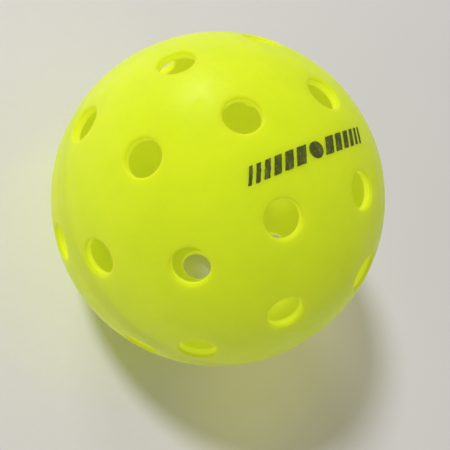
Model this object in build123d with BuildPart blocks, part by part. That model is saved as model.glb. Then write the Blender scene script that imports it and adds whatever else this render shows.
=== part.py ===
"""Pickleball ball for outdoor play.

Two moulded half-shells, each with three rings of air holes, meet edge to edge and are welded round
the equator. A mark is pad-printed over the pole of the upper half.

Millimetres and degrees. The origin is the ball's centre, +Z runs through the pole that carries the
mark, and +X runs along the mark. The weld lies in the XY plane.
"""

import os
from math import asin, cos, degrees, radians, sin, sqrt, tan

from build123d import *

# The ball
ball_diameter = 74.0
wall = 1.88
outer_radius = ball_diameter / 2
inner_radius = outer_radius - wall

# The air holes of one half: pole angle, number of holes, and azimuth of the first hole
hole_diameter = 7.6
hole_radius = hole_diameter / 2
hole_rings = [
    (23.7, 4, 42.7),
    (52.4, 8, 22.8),
    (79.2, 8, 3.9),
]
outer_rim_bevel = 0.45
inner_rim_bevel = 0.2
hole_overrun = 2.0

# The lower half's holes mirror the upper half's in the weld's plane, turned this far about Z
lower_half_turn = -10.5

# The start of the revolved shell, which clears every hole
revolve_azimuth = 82.0

# The weld: a ring of re-set plastic with a rounded bead inside the ball
weld_width = 0.8
weld_half_width = weld_width / 2
weld_bead = 0.7

# The printed mark: a dot between two rows of slanted bars, wide at the dot and narrow at the ends
ink_thickness = 0.04
mark_centre = (0.3, -0.35)
mark_height = 3.4
dot_diameter = 3.4
bar_widths = [2.3, 1.9, 1.6, 1.2, 0.9, 0.7]
bar_gap = 0.75
first_bar_gap = 0.9
bar_slant = 24.0
bar_lean = mark_height / 2 * tan(radians(bar_slant))
mark_sketch_depth = 5.0
mark_cap_angle = 35.0


def direction(pole_angle, azimuth):
    """The unit vector at this angle from +Z and this azimuth about it."""
    level = sin(radians(pole_angle))
    return Vector(level * cos(radians(azimuth)), level * sin(radians(azimuth)), cos(radians(pole_angle)))


def upright_plane(azimuth):
    """The plane that holds the Z axis, with its own x at this azimuth and its own y along +Z."""
    return Plane(
        origin=(0, 0, 0),
        x_dir=direction(90, azimuth),
        z_dir=direction(90, azimuth - 90),
    )


def hole_directions():
    """The direction from the ball's centre to each air hole of the upper half."""
    directions = []
    for pole_angle, count, first_azimuth in hole_rings:
        for number in range(count):
            directions.append(direction(pole_angle, first_azimuth + number * 360 / count))
    return directions


def depth_along_hole(radius):
    """The distance from the ball's centre, along a hole, at which its wall meets this sphere."""
    return sqrt(radius**2 - hole_radius**2)


def level_angle(radius):
    """The angle above the equator at which a circle of this radius meets the weld's edge."""
    return degrees(asin(weld_half_width / radius))


def edge_reach(radius):
    """The distance from the Z axis at which a sphere of this radius meets the weld's edge."""
    return sqrt(radius**2 - weld_half_width**2)


def bar_centres():
    """The distance from the dot's centre, and the width, of each bar on one side of the mark."""
    places = []
    near_edge = dot_diameter / 2 + first_bar_gap
    for width in bar_widths:
        places.append((near_edge + width / 2, width))
        near_edge += width + bar_gap
    return places


# The upper half: a revolved shell with its air holes cut outwards from the centre, their rims bevelled
with BuildPart() as shell_half_upper:
    with BuildSketch(upright_plane(revolve_azimuth)):
        with BuildLine():
            outer_start = level_angle(outer_radius)
            inner_start = level_angle(inner_radius)
            outside = CenterArc((0, 0), outer_radius, outer_start, 90 - outer_start)
            inside = CenterArc((0, 0), inner_radius, inner_start, 90 - inner_start)
            Line(outside @ 0, inside @ 0)
            Line(outside @ 1, inside @ 1)
        make_face()
    revolve(axis=Axis.Z)
    for outward in hole_directions():
        across = outward.cross(Vector(0, 0, 1)).normalized()
        with BuildSketch(Plane(origin=(0, 0, 0), x_dir=across, z_dir=across.cross(outward))):
            straight_from = depth_along_hole(inner_radius) + inner_rim_bevel
            straight_to = depth_along_hole(outer_radius) - outer_rim_bevel
            Polygon(
                (0, straight_from - hole_overrun),
                (hole_radius + hole_overrun, straight_from - hole_overrun),
                (hole_radius, straight_from),
                (hole_radius, straight_to),
                (hole_radius + hole_overrun, straight_to + hole_overrun),
                (0, straight_to + hole_overrun),
                align=None,
            )
        revolve(axis=Axis((0, 0, 0), outward), mode=Mode.SUBTRACT)
shell_half_upper.part.label = "shell_half_upper"

# The lower half: the upper one's mirror image, turned about the pole
with BuildPart() as shell_half_lower:
    mirrored_half = mirror(shell_half_upper.part, about=Plane.XY, mode=Mode.PRIVATE)
    add(mirrored_half.rotate(Axis.Z, lower_half_turn))
shell_half_lower.part.label = "shell_half_lower"

# The weld: flush with the ball outside, as deep as the wall, with a rounded bead inside
with BuildPart() as weld_seam:
    with BuildSketch(Plane.XZ):
        with BuildLine():
            outer_edge = edge_reach(outer_radius)
            inner_edge = edge_reach(inner_radius)
            flush = ThreePointArc(
                (outer_edge, -weld_half_width), (outer_radius, 0), (outer_edge, weld_half_width)
            )
            bead = ThreePointArc(
                (inner_edge, -weld_half_width),
                (inner_radius - weld_bead, 0),
                (inner_edge, weld_half_width),
            )
            Line(flush @ 0, bead @ 0)
            Line(flush @ 1, bead @ 1)
        make_face()
    revolve(axis=Axis.Z)
weld_seam.part.label = "weld_seam"

# The mark: its outline is raised through the surface and kept only where it is a skin of ink on it
with BuildPart() as printed_mark:
    with BuildSketch(Plane.XY.offset(outer_radius - mark_sketch_depth)):
        with Locations(mark_centre):
            Circle(dot_diameter / 2)
        for distance, width in bar_centres():
            for side in (-1, 1):
                with Locations((mark_centre[0] + side * distance, mark_centre[1])):
                    Polygon(
                        (-width / 2 - bar_lean, -mark_height / 2),
                        (width / 2 - bar_lean, -mark_height / 2),
                        (width / 2 + bar_lean, mark_height / 2),
                        (-width / 2 + bar_lean, mark_height / 2),
                    )
    extrude(amount=2 * mark_sketch_depth)
    with BuildSketch(Plane.XZ):
        with BuildLine():
            ink_top = CenterArc((0, 0), outer_radius + ink_thickness, 90 - mark_cap_angle, mark_cap_angle)
            ink_base = CenterArc((0, 0), outer_radius, 90 - mark_cap_angle, mark_cap_angle)
            Line(ink_top @ 0, ink_base @ 0)
            Line(ink_top @ 1, ink_base @ 1)
        make_face()
    revolve(axis=Axis.Z, mode=Mode.INTERSECT)
printed_mark.part.label = "printed_mark"

os.makedirs("parts", exist_ok=True)
for piece in (shell_half_upper, shell_half_lower, weld_seam, printed_mark):
    export_step(piece.part, f"parts/{piece.part.label}.step")
    print(piece.part.label, len(piece.part.solids()), "solids", round(piece.part.volume, 2), "mm3")
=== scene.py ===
"""The looks of a pickleball ball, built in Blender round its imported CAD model.

The two half-shells, the weld between them and the printed mark each get a fine mesh made here, in
the place of their CAD nodes, with procedural materials. Lengths are metres, and angles degrees.
"""

import math

import bpy
import numpy as np
from mathutils import Matrix, Vector
from mathutils.geometry import delaunay_2d_cdt


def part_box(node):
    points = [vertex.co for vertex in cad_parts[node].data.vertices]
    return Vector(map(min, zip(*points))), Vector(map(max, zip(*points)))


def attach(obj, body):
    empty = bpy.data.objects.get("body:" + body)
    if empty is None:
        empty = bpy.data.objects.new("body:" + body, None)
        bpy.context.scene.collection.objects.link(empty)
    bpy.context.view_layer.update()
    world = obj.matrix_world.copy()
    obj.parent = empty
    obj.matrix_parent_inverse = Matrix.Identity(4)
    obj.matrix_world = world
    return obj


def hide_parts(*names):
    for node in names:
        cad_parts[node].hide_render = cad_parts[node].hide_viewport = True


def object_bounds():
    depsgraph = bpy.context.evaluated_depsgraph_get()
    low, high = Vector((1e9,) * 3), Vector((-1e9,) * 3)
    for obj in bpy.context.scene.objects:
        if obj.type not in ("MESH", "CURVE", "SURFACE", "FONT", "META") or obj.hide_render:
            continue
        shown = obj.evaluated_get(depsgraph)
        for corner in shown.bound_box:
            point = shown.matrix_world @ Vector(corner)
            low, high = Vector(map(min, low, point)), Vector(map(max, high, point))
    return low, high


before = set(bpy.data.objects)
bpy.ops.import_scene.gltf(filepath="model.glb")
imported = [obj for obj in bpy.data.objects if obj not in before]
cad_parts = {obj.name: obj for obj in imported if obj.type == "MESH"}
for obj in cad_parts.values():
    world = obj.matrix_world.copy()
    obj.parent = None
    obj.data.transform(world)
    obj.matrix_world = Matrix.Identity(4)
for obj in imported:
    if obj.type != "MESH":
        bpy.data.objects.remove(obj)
cad_low, cad_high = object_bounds()

MM = 0.001
BODY = "root"

# The ball, from the frame and from the CAD model's driving dimensions
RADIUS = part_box("weld_seam")[1].x
WALL = 1.88 * MM
INNER_RADIUS = RADIUS - WALL
WELD_HALF_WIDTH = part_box("shell_half_upper")[0].z
WELD_BEAD = 0.7 * MM

# The lower half is the upper one mirrored in the weld's plane, then turned this far about Z
LOWER_HALF_TURN = -10.5

# The air holes of one half: pole angle, number of holes, azimuth of the first
HOLE_RADIUS = 3.8 * MM
HOLE_RINGS = [(23.7, 4, 42.7), (52.4, 8, 22.8), (79.2, 8, 3.9)]
OUTER_RIM_ROUND = 0.55 * MM
INNER_RIM_ROUND = 0.3 * MM

# How fine the shell's mesh is
LATTICE_STEP = 1.15 * MM
HOLE_SEGMENTS = 48
EDGE_SEGMENTS = 240
RIM_RING_STEPS = [0.0, 0.35 * MM, 0.85 * MM]
EDGE_RING_STEPS = [0.0, 0.5 * MM]
CLEAR_OF_RINGS = 0.6 * MM
OUTER_RIM_STEPS = 6
INNER_RIM_STEPS = 4

# How fine the weld's mesh is
WELD_OUTER_STEPS = 2
WELD_BEAD_STEPS = 8

# The order of the materials on a shell and on the weld
OUTSIDE, INSIDE, HOLE_WALL = 0, 1, 2

# Points closer together than this are merged when a surface is cut into triangles
MERGE_WITHIN = 1e-9

# +Z, tilted by a hair so that a circle can be drawn about it
POLE = np.array([1e-9, 0.0, 1.0])

# The golden angle, in half turns, between neighbours on a spiral of evenly spread points
GOLDEN_HALF_TURNS = 3 - math.sqrt(5)

# The printed mark
INK_THICKNESS = 0.03 * MM
MARK_CENTRE = (0.3 * MM, -0.35 * MM)
MARK_HEIGHT = 3.4 * MM
DOT_DIAMETER = 3.4 * MM
BAR_WIDTHS = [2.3 * MM, 1.9 * MM, 1.6 * MM, 1.2 * MM, 0.9 * MM, 0.7 * MM]
BAR_GAP = 0.75 * MM
FIRST_BAR_GAP = 0.9 * MM
BAR_SLANT = 24.0
BAR_CORNER = 0.18 * MM
BAR_CORNER_POINTS = 6
DOT_SEGMENTS = 72
INK_GRID = 0.35 * MM
INK_STEP = 0.16 * MM
INK_RAGGED = 0.045 * MM
INK_RAGGED_SEED = 7

# Close to the weld the plastic lets no light through, and its colour there is lightened as painted
# light that stands in for the light the rest of the plastic passes: how far from the weld it clears,
# and its colour
WELD_FADE = 3.0 * MM
WELD_COLOUR = (0.63, 0.81, 0.002)

# The colour of the painted glow that the plastic gives off, which stands in for the dye's
# fluorescence and for light passing through the plastic
DYE_GLOW = (0.86, 0.90, 0.07)

# The plastic's patterns: the size of their lumps, and how far each one goes
MOTTLE_SIZE = 9 * MM
MOTTLE_DARKEST = 0.94
SCUFF_SIZE = 2.4 * MM
SCUFF_MOST = 0.35
SCUFF_STRETCH = (1, 3.2, 0.6)
SCUFF_EDGES = (0.66, 0.78)
POLISH_SIZE = 3 * MM
POLISH_SPREAD = (-0.06, 0.08)
WAVE_SIZE = 6 * MM
WAVE_DEPTH = 0.05 * MM
GRAIN_SIZE = 0.35 * MM
GRAIN_DEPTH = 0.02 * MM
GRAIN_STRENGTH = 0.6

# How far red, green and blue light go inside the plastic, and how shiny it is
SCATTER_RADIUS = (1.0, 1.0, 0.15)
SCATTER_SCALE = 6.0 * MM
PLASTIC_SPECULAR = 0.35

# The ink: where it is thick, thin and missing, and its patterns
INK_DARK = (0.075, 0.092, 0.010)
INK_THIN = (0.17, 0.21, 0.014)
INK_BARE = (0.36, 0.46, 0.018)
STREAK_SIZE = 1.1 * MM
STREAK_STRETCH = (1, 0.35, 1)
STREAK_EDGES = (0.48, 0.72)
PINHOLE_SIZE = 0.3 * MM
PINHOLE_EDGES = (0.68, 0.74)
INK_POLISH_SIZE = 0.8 * MM
INK_ROUGHNESS = (0.38, 0.6)
INK_GRAIN_DEPTH = 0.015 * MM

# The floor
FLOOR_HALF_SIZE = 3.0
FLOOR_COLOUR = (0.93, 0.90, 0.88)
FLOOR_ROUGHNESS = 0.24
FLOOR_IOR = 1.9
FLOOR_TONE_SIZE = 90 * MM
FLOOR_TONE_DARKEST = 0.97
FLOOR_GRAIN_SIZE = 0.5 * MM
FLOOR_GRAIN_DEPTH = 0.02 * MM
FLOOR_GRAIN_STRENGTH = 0.4

# The light from all round, and the light that the ball passes on to the floor
WORLD_COLOUR = (1.0, 0.97, 0.74)
WORLD_STRENGTH = 0.31
PASSED_ON_POWER = 0.0014
PASSED_ON_COLOUR = (0.95, 1.0, 0.0)
PASSED_ON_SIZE = (80 * MM, 40 * MM)
PASSED_ON_REACH = 46 * MM
PASSED_ON_HEIGHT = 14 * MM

# Where the camera stands, seen from the ball's centre, and where it looks
VIEW_AZIMUTH = 185.6
VIEW_ELEVATION = 55.9
VIEW_ROLL = 62.0
VIEW_DISTANCE = 5.24 * RADIUS
LENS = 68.8
SENSOR_WIDTH = 36
AIM_RIGHT = 0.0417 * RADIUS
AIM_DOWN = 0.1543 * RADIUS


def direction(pole_angle, azimuth):
    """The unit vector at this angle from +Z and this azimuth about it."""
    level = math.sin(math.radians(pole_angle))
    return np.array([
        level * math.cos(math.radians(azimuth)),
        level * math.sin(math.radians(azimuth)),
        math.cos(math.radians(pole_angle)),
    ])


def hole_directions():
    """The direction from the ball's centre to each air hole of the upper half."""
    return [
        direction(pole_angle, first + number * 360 / count)
        for pole_angle, count, first in HOLE_RINGS
        for number in range(count)
    ]


def circle_about(axis, count):
    """Unit vectors square to axis, evenly spaced round it."""
    side = np.cross(axis, [0.0, 0.0, 1.0])
    side /= np.linalg.norm(side)
    other = np.cross(axis, side)
    turns = np.arange(count) * 2 * math.pi / count
    return np.outer(np.cos(turns), side) + np.outer(np.sin(turns), other)


def rim_profile():
    """The hole's section from its outer rim to its inner one: distance from the hole's axis,
    distance along it from the ball's centre, and the normal in the same two directions."""
    points = []
    out_r = HOLE_RADIUS + OUTER_RIM_ROUND
    out_h = math.sqrt((RADIUS - OUTER_RIM_ROUND) ** 2 - out_r**2)
    in_r = HOLE_RADIUS + INNER_RIM_ROUND
    in_h = math.sqrt((INNER_RADIUS + INNER_RIM_ROUND) ** 2 - in_r**2)
    start = math.atan2(out_h, out_r)
    for step in range(OUTER_RIM_STEPS + 1):
        turn = start + (math.pi - start) * step / OUTER_RIM_STEPS
        nr, nh = math.cos(turn), math.sin(turn)
        points.append((out_r + OUTER_RIM_ROUND * nr, out_h + OUTER_RIM_ROUND * nh, nr, nh))
    end = math.pi + math.atan2(in_h, in_r)
    for step in range(INNER_RIM_STEPS + 1):
        turn = math.pi + (end - math.pi) * step / INNER_RIM_STEPS
        nr, nh = math.cos(turn), math.sin(turn)
        points.append((in_r + INNER_RIM_ROUND * nr, in_h + INNER_RIM_ROUND * nh, nr, nh))
    return points


def lattice(step):
    """Evenly spread directions over the upper half of the sphere, on a golden-angle spiral."""
    count = int(2 * math.pi * RADIUS**2 / (step**2 * math.sqrt(3) / 2))
    number = np.arange(count) + 0.5
    z = 1 - number / count
    azimuth = number * math.pi * GOLDEN_HALF_TURNS
    level = np.sqrt(1 - z**2)
    return np.stack([level * np.cos(azimuth), level * np.sin(azimuth), z], 1)


def shell_layout():
    """The directions and triangles that the outside and the inside of a half-shell share.

    Returns the outer and inner directions, the triangles, each hole's rim ring as vertex
    numbers, and the ring along the weld."""
    profile = rim_profile()
    outer_angle = math.atan2(profile[0][0], profile[0][1])
    inner_angle = math.atan2(profile[-1][0], profile[-1][1])
    outer, inner, edges, rims = [], [], [], []

    def add_ring(outer_dirs, inner_dirs, closed):
        first = len(outer)
        outer.extend(outer_dirs)
        inner.extend(inner_dirs)
        numbers = list(range(first, len(outer)))
        if closed:
            edges.extend(zip(numbers, numbers[1:] + numbers[:1]))
        return numbers

    for axis in hole_directions():
        around = circle_about(axis, HOLE_SEGMENTS)
        for number, step in enumerate(RIM_RING_STEPS):
            a, b = outer_angle + step / RADIUS, inner_angle + step / RADIUS
            ring = add_ring(
                math.cos(a) * axis + math.sin(a) * around,
                math.cos(b) * axis + math.sin(b) * around,
                number == 0,
            )
            if number == 0:
                rims.append(ring)
    around = circle_about(POLE, EDGE_SEGMENTS)
    edge_rings = []
    for number, step in enumerate(EDGE_RING_STEPS):
        a = math.asin((WELD_HALF_WIDTH + step) / RADIUS)
        b = math.asin((WELD_HALF_WIDTH + step) / INNER_RADIUS)
        up = np.array([0.0, 0.0, 1.0])
        edge_rings.append(add_ring(
            math.sin(a) * up + math.cos(a) * around,
            math.sin(b) * up + math.cos(b) * around,
            number == 0,
        ))

    points = lattice(LATTICE_STEP)
    keep_off = outer_angle + (RIM_RING_STEPS[-1] + CLEAR_OF_RINGS) / RADIUS
    near = points @ np.array(hole_directions()).T
    above = (WELD_HALF_WIDTH + EDGE_RING_STEPS[-1] + CLEAR_OF_RINGS) / RADIUS
    free = (near.max(1) < math.cos(keep_off)) & (points[:, 2] > above)
    add_ring(points[free], points[free], False)

    flat = [Vector((d[0] / (1 + d[2]), d[1] / (1 + d[2]))) for d in outer]
    _, _, faces, origin, _, _ = delaunay_2d_cdt(flat, edges, [], 0, MERGE_WITHIN)
    numbers = [o[0] for o in origin]
    hole_of = {}
    for hole, ring in enumerate(rims):
        hole_of.update((v, hole) for v in ring)
    triangles = []
    for face in faces:
        corners = [numbers[v] for v in face]
        holes = {hole_of.get(v) for v in corners}
        if len(holes) == 1 and None not in holes:
            continue
        triangles.append(corners)
    return np.array(outer), np.array(inner), triangles, rims, edge_rings[0]


def new_piece(name, vertices, faces, normals, materials, slots=None):
    """A smooth-shaded mesh object with these exact normals, and each face's material number."""
    mesh = bpy.data.meshes.new(name)
    mesh.from_pydata([tuple(v) for v in vertices], [], faces)
    mesh.validate()
    mesh.polygons.foreach_set("use_smooth", [True] * len(mesh.polygons))
    mesh.normals_split_custom_set_from_vertices([tuple(n) for n in normals])
    for material in materials:
        mesh.materials.append(material)
    if slots:
        mesh.polygons.foreach_set("material_index", slots)
    piece = bpy.data.objects.new(name, mesh)
    bpy.context.scene.collection.objects.link(piece)
    return piece


def half_shell():
    """The upper half-shell's vertices, faces and normals, and each face's material number."""
    outer, inner, triangles, rims, edge_ring = shell_layout()
    count = len(outer)
    vertices = [*(outer * RADIUS), *(inner * INNER_RADIUS)]
    normals = [*outer, *(-inner)]
    faces = list(triangles)
    faces += [[v + count for v in reversed(t)] for t in triangles]
    profile = rim_profile()[1:-1]
    for axis, rim in zip(hole_directions(), rims):
        around = circle_about(axis, HOLE_SEGMENTS)
        rows = [rim]
        for distance, along, nr, nh in profile:
            first = len(vertices)
            vertices.extend(distance * around + along * axis)
            normals.extend(nr * around + nh * axis)
            rows.append(list(range(first, first + HOLE_SEGMENTS)))
        rows.append([v + count for v in rim])
        faces += strips(rows)
    faces += strips([[v + count for v in edge_ring], edge_ring])
    one_hole = []
    for row in range(len(profile) + 1):
        one_hole += [OUTSIDE if row < OUTER_RIM_STEPS else HOLE_WALL] * HOLE_SEGMENTS
    slots = [OUTSIDE] * len(triangles) + [INSIDE] * len(triangles)
    slots += one_hole * len(rims) + [OUTSIDE] * EDGE_SEGMENTS
    return np.array(vertices), faces, np.array(normals), slots


def strips(rows):
    """Quads between closed rows of vertices."""
    faces = []
    for a, b in zip(rows, rows[1:]):
        for i in range(len(a)):
            j = (i + 1) % len(a)
            faces.append([a[i], a[j], b[j], b[i]])
    return faces


def weld_ring():
    """The weld's vertices, faces, normals and material numbers.

    It is flush with the shells outside, with a rounded bead inside."""
    edge = math.asin(WELD_HALF_WIDTH / RADIUS)
    outside = []
    for step in range(WELD_OUTER_STEPS + 1):
        angle = edge - 2 * edge * step / WELD_OUTER_STEPS
        nr, nz = math.cos(angle), math.sin(angle)
        outside.append((RADIUS * nr, RADIUS * nz, nr, nz))
    inner_reach = math.sqrt(INNER_RADIUS**2 - WELD_HALF_WIDTH**2)
    sagitta = inner_reach - (INNER_RADIUS - WELD_BEAD)
    bead_radius = (sagitta**2 + WELD_HALF_WIDTH**2) / (2 * sagitta)
    bead_centre = INNER_RADIUS - WELD_BEAD + bead_radius
    side = math.atan2(WELD_HALF_WIDTH, inner_reach - bead_centre)
    inside = []
    for step in range(WELD_BEAD_STEPS + 1):
        angle = -side - (2 * math.pi - 2 * side) * step / WELD_BEAD_STEPS
        nr, nz = math.cos(angle), math.sin(angle)
        inside.append((bead_centre + bead_radius * nr, bead_radius * nz, nr, nz))
    section = outside + inside + outside[:1]
    vertices, normals, slots = [], [], []
    for reach, z, nr, nz in section:
        for number in range(EDGE_SEGMENTS):
            turn = 2 * math.pi * number / EDGE_SEGMENTS
            vertices.append((reach * math.cos(turn), reach * math.sin(turn), z))
            normals.append((nr * math.cos(turn), nr * math.sin(turn), nz))
    rows = [
        list(range(row * EDGE_SEGMENTS, (row + 1) * EDGE_SEGMENTS)) for row in range(len(section))
    ]
    faces = [face[::-1] for face in strips(rows)]
    for row in range(len(rows) - 1):
        is_bead = len(outside) <= row < len(section) - 2
        slots += [INSIDE if is_bead else OUTSIDE] * EDGE_SEGMENTS
    return vertices, faces, normals, slots


def mark_outlines():
    """The flat outlines of the mark's solids: the dot, then each bar, with rounded corners."""
    random = np.random.default_rng(INK_RAGGED_SEED)

    def rough(points):
        """The outline, with the ragged edge that a worn print has."""
        points = np.array(points)
        along = np.roll(points, -1, 0) - np.roll(points, 1, 0)
        out = np.stack([along[:, 1], -along[:, 0]], 1)
        out /= np.linalg.norm(out, axis=1)[:, None]
        shift = random.normal(0, 1, len(points))
        shift = (shift + np.roll(shift, 1) + np.roll(shift, -1)) / 3
        return points + out * (shift * INK_RAGGED)[:, None]

    outlines = []
    turns = np.arange(DOT_SEGMENTS) * 2 * math.pi / DOT_SEGMENTS
    outlines.append(rough(np.stack([np.cos(turns), np.sin(turns)], 1) * DOT_DIAMETER / 2))
    near_edge = DOT_DIAMETER / 2 + FIRST_BAR_GAP
    lean = MARK_HEIGHT / 2 * math.tan(math.radians(BAR_SLANT))
    for width in BAR_WIDTHS:
        for side in (-1, 1):
            middle = side * (near_edge + width / 2)
            corners = [
                (middle - width / 2 - lean, -MARK_HEIGHT / 2),
                (middle + width / 2 - lean, -MARK_HEIGHT / 2),
                (middle + width / 2 + lean, MARK_HEIGHT / 2),
                (middle - width / 2 + lean, MARK_HEIGHT / 2),
            ]
            outlines.append(rough(rounded(corners)))
        near_edge += width + BAR_GAP
    return [outline + np.array(MARK_CENTRE) for outline in outlines]


def rounded(corners):
    """A polygon's outline with its corners rounded, sampled about every ink step."""
    corners = np.array(corners)
    points = []
    for number, corner in enumerate(corners):
        before = corners[number - 1] - corner
        after = corners[(number + 1) % len(corners)] - corner
        start = corner + before / np.linalg.norm(before) * BAR_CORNER
        end = corner + after / np.linalg.norm(after) * BAR_CORNER
        for t in np.linspace(0, 1, BAR_CORNER_POINTS):
            points.append((1 - t) ** 2 * start + 2 * t * (1 - t) * corner + t**2 * end)
        following = corners[(number + 1) % len(corners)]
        following = following - after / np.linalg.norm(after) * BAR_CORNER
        steps = max(2, int(np.linalg.norm(following - end) / INK_STEP))
        for t in np.arange(1, steps) / steps:
            points.append(end + (following - end) * t)
    return points


def ink_mark():
    """The printed mark's vertices, faces and normals.

    Each outline is laid over the ball as a skin of ink with a closed edge."""
    vertices, faces, normals = [], [], []
    for outline in mark_outlines():
        low, high = outline.min(0), outline.max(0)
        grid = np.stack(np.meshgrid(
            np.arange(low[0], high[0], INK_GRID), np.arange(low[1], high[1], INK_GRID),
        ), -1).reshape(-1, 2)
        count = len(outline)
        ring = [(n, (n + 1) % count) for n in range(count)]
        flat = [Vector(p) for p in outline] + [Vector(p) for p in grid]
        spots, _, triangles, _, _, _ = delaunay_2d_cdt(flat, ring, [], 1, MERGE_WITHIN)
        spots = np.array([tuple(p) for p in spots])
        used = sorted({v for face in triangles for v in face})
        renumber = {v: n for n, v in enumerate(used)}
        spots = spots[used]
        triangles = [[renumber[v] for v in face] for face in triangles]
        height = np.sqrt(RADIUS**2 - (spots**2).sum(1))
        outward = np.column_stack([spots, height]) / RADIUS
        for skin, sign in ((RADIUS + INK_THICKNESS, 1), (RADIUS, -1)):
            first = len(vertices)
            vertices.extend(outward * skin)
            normals.extend(outward * sign)
            faces += [[v + first for v in face[::sign]] for face in triangles]
        sides = {}
        for face in triangles:
            for a, b in zip(face, face[1:] + face[:1]):
                sides[(a, b)] = sides.get((a, b), 0) + 1
        below = len(outward)
        base = len(vertices) - 2 * below
        for a, b in sides:
            if (b, a) not in sides:
                faces.append([base + b, base + a, base + below + a, base + below + b])
    return vertices, faces, normals


def wander(material, size, low, high, detail=2.0, stretch=(1, 1, 1), edges=(0.35, 0.65)):
    """A socket that wanders from low to high over the object in lumps of about this size."""
    tree = material.node_tree
    place = tree.nodes.new("ShaderNodeTexCoord")
    mapping = tree.nodes.new("ShaderNodeMapping")
    mapping.inputs["Scale"].default_value = stretch
    texture = tree.nodes.new("ShaderNodeTexNoise")
    texture.inputs["Scale"].default_value = 1 / size
    texture.inputs["Detail"].default_value = detail
    spread = tree.nodes.new("ShaderNodeMapRange")
    spread.inputs["From Min"].default_value = edges[0]
    spread.inputs["From Max"].default_value = edges[1]
    spread.inputs["To Min"].default_value = low
    spread.inputs["To Max"].default_value = high
    tree.links.new(place.outputs["Object"], mapping.inputs["Vector"])
    tree.links.new(mapping.outputs["Vector"], texture.inputs["Vector"])
    tree.links.new(texture.outputs["Fac"], spread.inputs["Value"])
    return spread.outputs["Result"]


def blend(material, factor, first, second):
    """A colour socket between two colours, or between a socket and a colour."""
    mix = material.node_tree.nodes.new("ShaderNodeMix")
    mix.data_type = "RGBA"
    material.node_tree.links.new(factor, mix.inputs["Factor"])
    for socket, colour in zip(mix.inputs[6:8], (first, second)):
        if isinstance(colour, tuple):
            socket.default_value = (*colour, 1)
        else:
            material.node_tree.links.new(colour, socket)
    return mix.outputs[2]


def away_from_weld(material):
    """A socket that is 0 at the weld and 1 a few millimetres above or below it."""
    tree = material.node_tree
    place = tree.nodes.new("ShaderNodeTexCoord")
    parts = tree.nodes.new("ShaderNodeSeparateXYZ")
    height = tree.nodes.new("ShaderNodeMath")
    height.operation = "ABSOLUTE"
    spread = tree.nodes.new("ShaderNodeMapRange")
    spread.interpolation_type = "SMOOTHSTEP"
    spread.inputs["From Min"].default_value = WELD_HALF_WIDTH
    spread.inputs["From Max"].default_value = WELD_FADE
    tree.links.new(place.outputs["Object"], parts.inputs["Vector"])
    tree.links.new(parts.outputs["Z"], height.inputs[0])
    tree.links.new(height.outputs["Value"], spread.inputs["Value"])
    return spread.outputs["Result"]


def raise_surface(material, height, depth, strength=1.0, under=None):
    """A normal socket for a surface raised by this height socket, up to this depth."""
    bump = material.node_tree.nodes.new("ShaderNodeBump")
    bump.inputs["Strength"].default_value = strength
    bump.inputs["Distance"].default_value = depth
    material.node_tree.links.new(height, bump.inputs["Height"])
    if under:
        material.node_tree.links.new(under, bump.inputs["Normal"])
    return bump.outputs["Normal"]


def new_material(name):
    """A new material, its shader and its links."""
    material = bpy.data.materials.new(name)
    material.use_nodes = True
    return material, material.node_tree.nodes["Principled BSDF"], material.node_tree.links


def plastic(name, colour, paler, roughness, glow, see_through=True):
    """Moulded plastic with a fine grain, faint mottling and a few scuffs.

    It lets light through, except close to the weld, where it also takes the weld's colour, lightened
    there as painted light.
    It gives off a painted glow of the dye's colour, which stands in for the dye's fluorescence and
    for light passing through the plastic; how strong it is comes as an argument."""
    material, shader, links = new_material(name)
    mottle = wander(material, MOTTLE_SIZE, 0.0, 1.0, detail=3.0)
    scuff = wander(
        material, SCUFF_SIZE, 0.0, SCUFF_MOST, detail=4.0, stretch=SCUFF_STRETCH, edges=SCUFF_EDGES,
    )
    tint = blend(material, mottle, colour, tuple(MOTTLE_DARKEST * c for c in colour))
    tint = blend(material, scuff, tint, paler)
    smoother, rougher = (roughness + change for change in POLISH_SPREAD)
    links.new(wander(material, POLISH_SIZE, smoother, rougher), shader.inputs["Roughness"])
    grain = wander(material, GRAIN_SIZE, 0.0, 1.0)
    waves = wander(material, WAVE_SIZE, 0.0, 1.0)
    swell = raise_surface(material, waves, WAVE_DEPTH)
    surface = raise_surface(material, grain, GRAIN_DEPTH, GRAIN_STRENGTH, swell)
    links.new(surface, shader.inputs["Normal"])
    if see_through:
        clear_of_weld = away_from_weld(material)
        tint = blend(material, clear_of_weld, WELD_COLOUR, tint)
        links.new(clear_of_weld, shader.inputs["Subsurface Weight"])
    links.new(tint, shader.inputs["Base Color"])
    shader.inputs["Subsurface Radius"].default_value = SCATTER_RADIUS
    shader.inputs["Subsurface Scale"].default_value = SCATTER_SCALE
    shader.inputs["Specular IOR Level"].default_value = PLASTIC_SPECULAR
    # Painted glow: emission that stands in for the dye's fluorescence and for light passing through
    # the plastic
    shader.inputs["Emission Color"].default_value = (*DYE_GLOW, 1)
    shader.inputs["Emission Strength"].default_value = glow
    return material


def ink(name):
    """Thin dark ink with pale streaks where the pad left less of it."""
    material, shader, links = new_material(name)
    streaks = wander(
        material, STREAK_SIZE, 0.0, 1.0, detail=4.0, stretch=STREAK_STRETCH, edges=STREAK_EDGES,
    )
    pinholes = wander(material, PINHOLE_SIZE, 0.0, 1.0, detail=1.0, edges=PINHOLE_EDGES)
    tint = blend(material, streaks, INK_DARK, INK_THIN)
    links.new(blend(material, pinholes, tint, INK_BARE), shader.inputs["Base Color"])
    links.new(wander(material, INK_POLISH_SIZE, *INK_ROUGHNESS), shader.inputs["Roughness"])
    grain = wander(material, GRAIN_SIZE, 0.0, 1.0)
    surface = raise_surface(material, grain, INK_GRAIN_DEPTH, GRAIN_STRENGTH)
    links.new(surface, shader.inputs["Normal"])
    return material


# Every plastic gets a painted glow for fluorescence and for light passing through it; the hole walls
# get the most, so they look as bright as the surface round them
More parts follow.
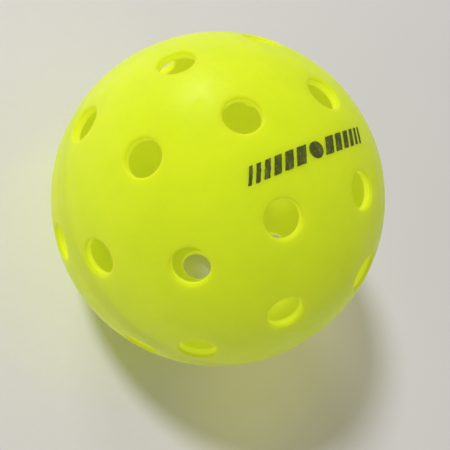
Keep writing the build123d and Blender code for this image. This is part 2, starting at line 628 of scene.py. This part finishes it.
shell_plastic = plastic(
    "shell_plastic", colour=(0.66, 0.85, 0.002), paler=(0.74, 0.89, 0.03), roughness=0.40, glow=0.12,
)
inside_plastic = plastic(
    "inside_plastic", colour=(0.76, 0.86, 0.060), paler=(0.78, 0.89, 0.08), roughness=0.55, glow=0.12,
)
wall_plastic = plastic(
    "wall_plastic", colour=(0.70, 0.87, 0.010), paler=(0.74, 0.89, 0.03), roughness=0.45, glow=0.25,
)
# The weld band's lightened colour and its larger painted glow are painted light, making up for the
# light that the band doesn't let through
weld_plastic = plastic(
    "weld_plastic", colour=WELD_COLOUR, paler=(0.66, 0.82, 0.02), roughness=0.40, glow=0.15,
    see_through=False,
)
mark_ink = ink("mark_ink")

shell_materials = [shell_plastic, inside_plastic, wall_plastic]
upper_vertices, shell_faces, upper_normals, shell_slots = half_shell()
upper = new_piece(
    "shell_upper", upper_vertices, shell_faces, upper_normals, shell_materials, shell_slots,
)
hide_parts("shell_half_upper")
turn_lower = np.array(Matrix.Rotation(math.radians(LOWER_HALF_TURN), 3, "Z"))
mirror_and_turn = turn_lower @ np.diag([1, 1, -1])
lower = new_piece(
    "shell_lower", upper_vertices @ mirror_and_turn.T, [face[::-1] for face in shell_faces],
    upper_normals @ mirror_and_turn.T, shell_materials, shell_slots,
)
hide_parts("shell_half_lower")

weld_vertices, weld_faces, weld_normals, weld_slots = weld_ring()
weld = new_piece(
    "weld_ring", weld_vertices, weld_faces, weld_normals, [weld_plastic, inside_plastic], weld_slots,
)
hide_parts("weld_seam")

mark_vertices, mark_faces, mark_normals = ink_mark()
mark = new_piece("ink_mark", mark_vertices, mark_faces, mark_normals, [mark_ink])
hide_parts("printed_mark")

for piece, slot in (
    (upper, "shell_plastic"), (lower, "shell_plastic"), (weld, "weld_plastic"), (mark, "mark_ink"),
):
    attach(piece, BODY)

# Camera
toward = Vector(direction(90 - VIEW_ELEVATION, VIEW_AZIMUTH))
level_right = toward.cross(Vector((0, 0, 1))).normalized() * -1
roll = Matrix.Rotation(math.radians(VIEW_ROLL), 3, toward)
right = roll @ level_right
up = toward.cross(right)
centre = (cad_low + cad_high) / 2
camera = bpy.data.objects.new("camera", bpy.data.cameras.new("camera"))
bpy.context.scene.collection.objects.link(camera)
camera.data.lens = LENS
camera.data.sensor_width = SENSOR_WIDTH
camera.location = centre + toward * VIEW_DISTANCE
aim = centre + right * AIM_RIGHT - up * AIM_DOWN
back = (camera.location - aim).normalized()
across = up.cross(back).normalized()
camera.rotation_mode = "QUATERNION"
camera.rotation_quaternion = Matrix((across, back.cross(across), back)).transposed().to_quaternion()
bpy.context.scene.camera = camera

# Floor
floor_mesh = bpy.data.meshes.new("floor")
floor_corners = [
    (x * FLOOR_HALF_SIZE, y * FLOOR_HALF_SIZE, -RADIUS)
    for x, y in ((-1, -1), (1, -1), (1, 1), (-1, 1))
]
floor_mesh.from_pydata(floor_corners, [], [(0, 1, 2, 3)])
floor = bpy.data.objects.new("floor", floor_mesh)
bpy.context.scene.collection.objects.link(floor)
floor_material, floor_shader, floor_links = new_material("floor")
floor_tone = wander(floor_material, FLOOR_TONE_SIZE, 0.0, 1.0)
floor_grain = wander(floor_material, FLOOR_GRAIN_SIZE, 0.0, 1.0)
floor_darker = tuple(FLOOR_TONE_DARKEST * c for c in FLOOR_COLOUR)
floor_colour = blend(floor_material, floor_tone, FLOOR_COLOUR, floor_darker)
floor_links.new(floor_colour, floor_shader.inputs["Base Color"])
floor_surface = raise_surface(
    floor_material, floor_grain, FLOOR_GRAIN_DEPTH, FLOOR_GRAIN_STRENGTH,
)
floor_links.new(floor_surface, floor_shader.inputs["Normal"])
floor_shader.inputs["Roughness"].default_value = FLOOR_ROUGHNESS
floor_shader.inputs["IOR"].default_value = FLOOR_IOR
floor_mesh.materials.append(floor_material)

# Light
world = bpy.data.worlds.new("world")
world.use_nodes = True
background = world.node_tree.nodes["Background"]
background.inputs["Color"].default_value = (*WORLD_COLOUR, 1)
background.inputs["Strength"].default_value = WORLD_STRENGTH
bpy.context.scene.world = world


def soft_light(name, from_camera, distance, size, power, colour=(1, 1, 1)):
    """An area light seen from the ball in this direction: right, up and towards the camera."""
    ray = (right * from_camera[0] + up * from_camera[1] + toward * from_camera[2]).normalized()
    light = bpy.data.lights.new(name, "AREA")
    light.shape = "DISK"
    light.size = size
    light.energy = power
    light.color = colour
    lamp = bpy.data.objects.new(name, light)
    bpy.context.scene.collection.objects.link(lamp)
    lamp.location = centre + ray * distance
    lamp.rotation_mode = "QUATERNION"
    lamp.rotation_quaternion = ray.to_track_quat("Z", "Y")
    return lamp


key = soft_light(
    "key", from_camera=(-0.14, 0.60, 0.79), distance=1.6, size=0.24, power=12.5,
    colour=(1.0, 1.0, 1.2),
)
key.visible_glossy = False
soft_light("sheen", from_camera=(-0.17, 0.95, 0.27), distance=0.8, size=0.20, power=1.0)

# The light that the see-through ball passes on to the floor, over the middle of its shadow
away = Vector((-key.location.x, -key.location.y, 0)).normalized()
passed_on = bpy.data.lights.new("passed_on", "AREA")
passed_on.shape = "ELLIPSE"
passed_on.size = PASSED_ON_SIZE[0]
passed_on.size_y = PASSED_ON_SIZE[1]
passed_on.energy = PASSED_ON_POWER
passed_on.color = PASSED_ON_COLOUR
passed_on_lamp = bpy.data.objects.new("passed_on", passed_on)
bpy.context.scene.collection.objects.link(passed_on_lamp)
passed_on_lamp.location = away * PASSED_ON_REACH + Vector((0, 0, PASSED_ON_HEIGHT - RADIUS))
passed_on_lamp.rotation_euler = (0, 0, math.atan2(away.y, away.x) + math.pi / 2)
passed_on_lamp.visible_camera = False
passed_on_lamp.visible_glossy = False

bpy.context.scene.view_settings.view_transform = "Standard"
